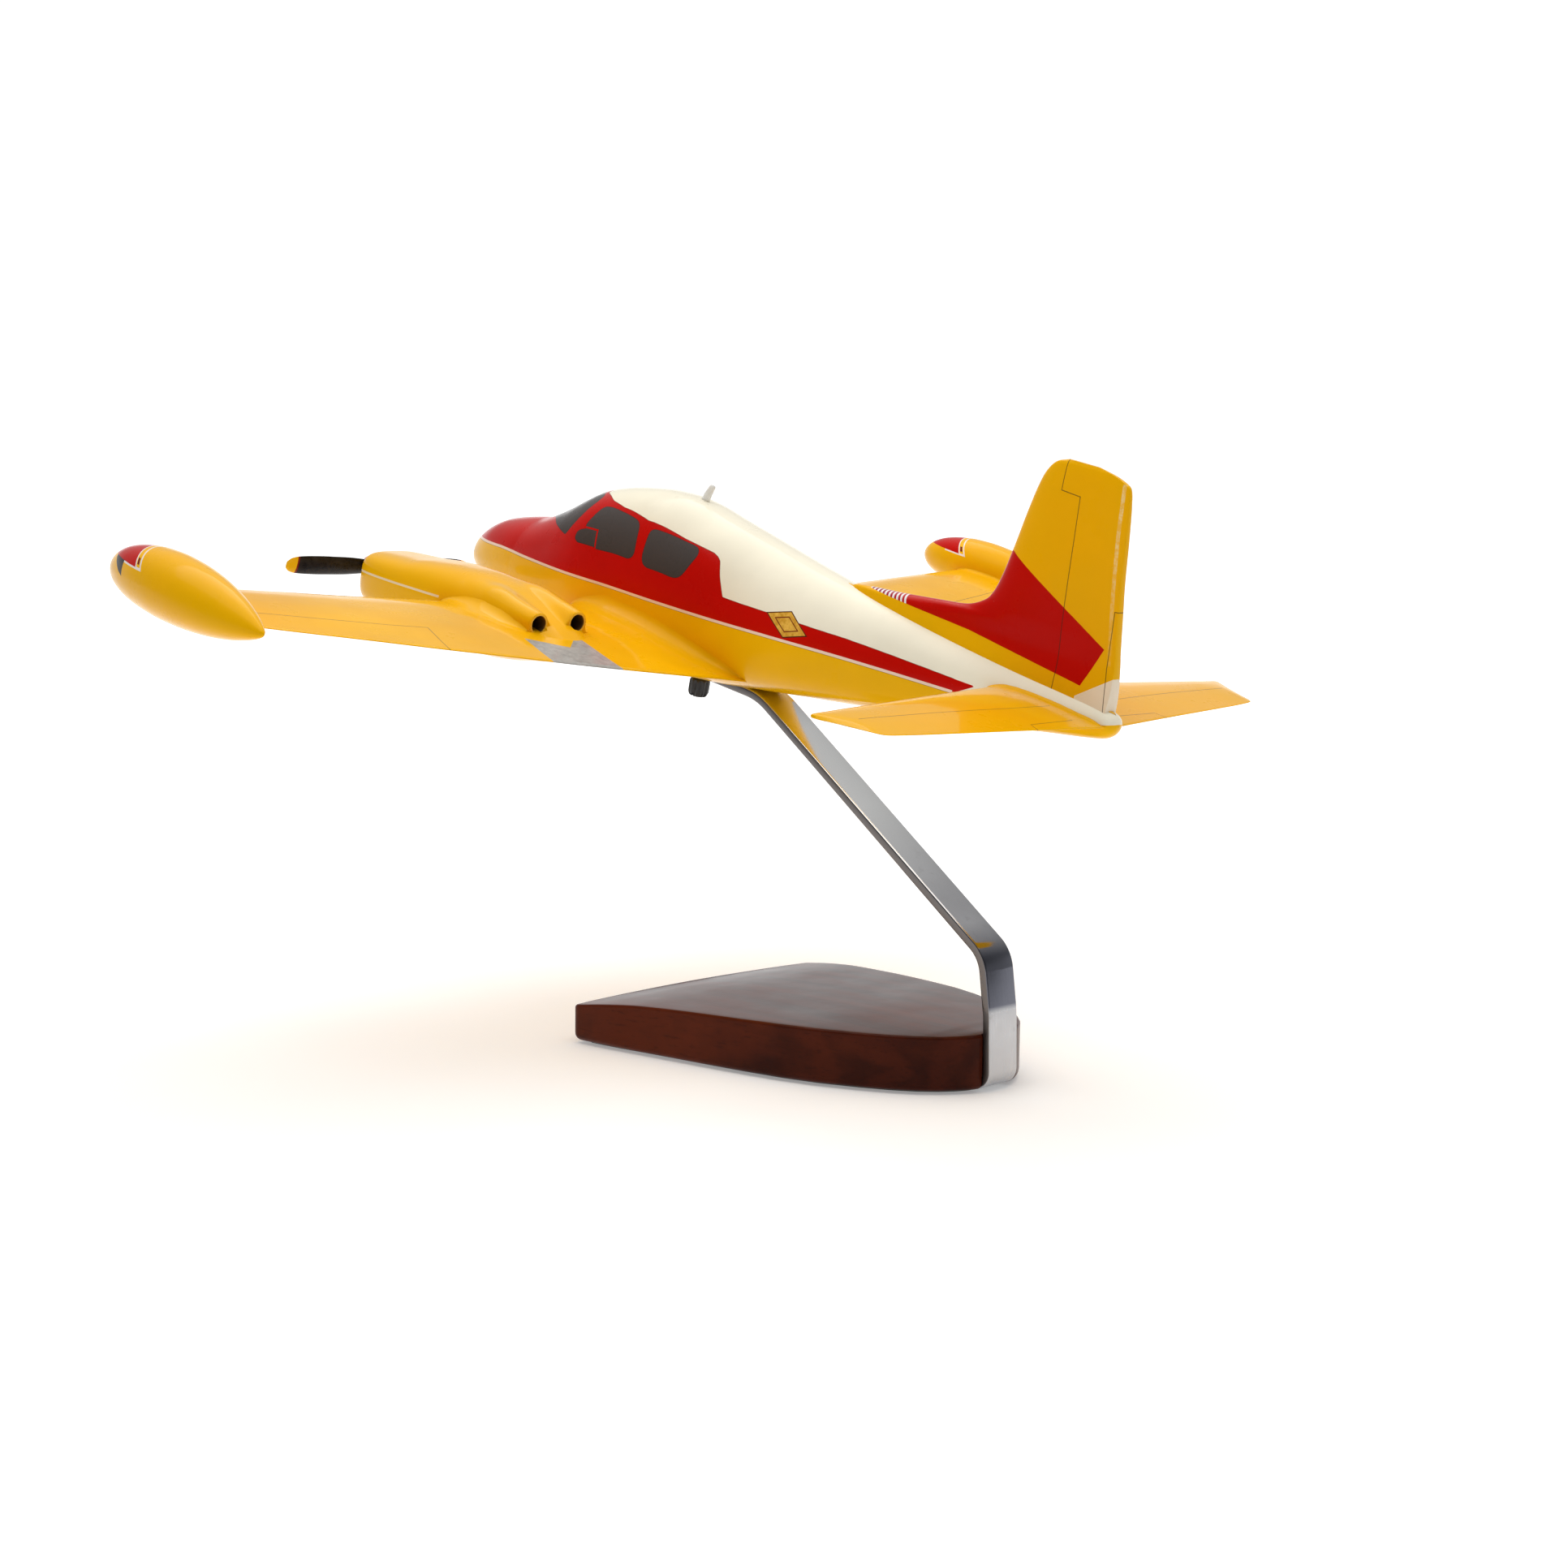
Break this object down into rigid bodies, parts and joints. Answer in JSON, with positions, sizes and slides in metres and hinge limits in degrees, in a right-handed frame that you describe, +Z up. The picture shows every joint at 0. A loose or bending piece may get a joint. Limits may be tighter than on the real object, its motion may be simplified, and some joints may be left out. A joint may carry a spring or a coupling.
{
  "type": "propeller plane display model",
  "caption": "Carved and painted desktop model of a light propeller airplane with wing-tip tanks, held nose-up by a bent metal arm over a dark wooden base; its propellers spin.",
  "frame": {"origin": "centre of the stand's underside, on the surface it rests on", "axes": "+X towards the airplane's port wing tip, +Y towards its tail, +Z up"},
  "size_m": [0.4494, 0.3371, 0.2203],
  "materials": {
    "painted_wood_yellow": "carved wood under hard gloss enamel, yellow with red, cream and dark grey painted areas",
    "propeller_black": "semi-gloss black with yellow tips",
    "spinner_red": "gloss red",
    "polished_steel": "polished, faintly scuffed",
    "plain_steel": "turned",
    "knob_black": "satin black, fluted",
    "brass": "turned",
    "mahogany": "dark mahogany stain under gloss lacquer",
    "felt": "dark green felt",
    "dowel_wood": "bare birch",
    "antenna_white": "off-white"
  },
  "bodies": {
    "stand_and_airplane": {"fuselage": "painted_wood_yellow", "tail_fin": "painted_wood_yellow", "port_wing": "painted_wood_yellow", "starboard_wing": "painted_wood_yellow", "port_nacelle": "painted_wood_yellow", "starboard_nacelle": "painted_wood_yellow", "port_tip_tank": "painted_wood_yellow", "starboard_tip_tank": "painted_wood_yellow", "port_stabilizer": "painted_wood_yellow", "starboard_stabilizer": "painted_wood_yellow", "display_arm": "polished_steel", "port_prop_shaft": "plain_steel", "starboard_prop_shaft": "plain_steel", "port_prop_washer": "plain_steel", "starboard_prop_washer": "plain_steel", "threaded_insert": "brass", "arm_foot_screw_front": "brass", "arm_foot_screw_rear": "brass", "base_block": "mahogany", "felt_pad": "felt", "fin_dowel_front": "dowel_wood", "fin_dowel_rear": "dowel_wood", "stabilizer_dowel": "dowel_wood", "port_front_wing_dowel": "dowel_wood", "starboard_front_wing_dowel": "dowel_wood", "port_rear_wing_dowel": "dowel_wood", "starboard_rear_wing_dowel": "dowel_wood", "port_tank_dowel": "dowel_wood", "starboard_tank_dowel": "dowel_wood", "roof_antenna": "antenna_white"},
    "port_propeller": {"port_propeller": "propeller_black", "port_spinner": "spinner_red"},
    "starboard_propeller": {"starboard_propeller": "propeller_black", "starboard_spinner": "spinner_red"},
    "screw_washer": {"thumbscrew_washer": "plain_steel"},
    "thumbscrew": {"thumbscrew_knob": "knob_black", "thumbscrew_stud": "plain_steel"}
  },
  "joints": [
    {"name": "port_prop_spin", "type": "hinge", "parent": "stand_and_airplane", "child": "port_propeller", "pos_m": [0.0745, -0.18011, 0.17594], "axis": [0, 0.9763, -0.2164], "continuous": true},
    {"name": "starboard_prop_spin", "type": "hinge", "parent": "stand_and_airplane", "child": "starboard_propeller", "pos_m": [-0.0745, -0.18011, 0.17594], "axis": [0, 0.9763, -0.2164], "continuous": true},
    {"name": "washer_travel", "type": "slide", "parent": "stand_and_airplane", "child": "screw_washer", "axis": [0, -0.2164, -0.9763], "range_m": [0, 0.007]},
    {"name": "thumbscrew_turn", "type": "hinge", "parent": "screw_washer", "child": "thumbscrew", "pos_m": [0, -0.07369, 0.13755], "axis": [0, -0.2164, -0.9763], "range_deg": [0, 3600]}
  ],
  "couplings": [
    {"joint": "thumbscrew_turn", "follows": "washer_travel", "rad_per_m": 8976}
  ]
}
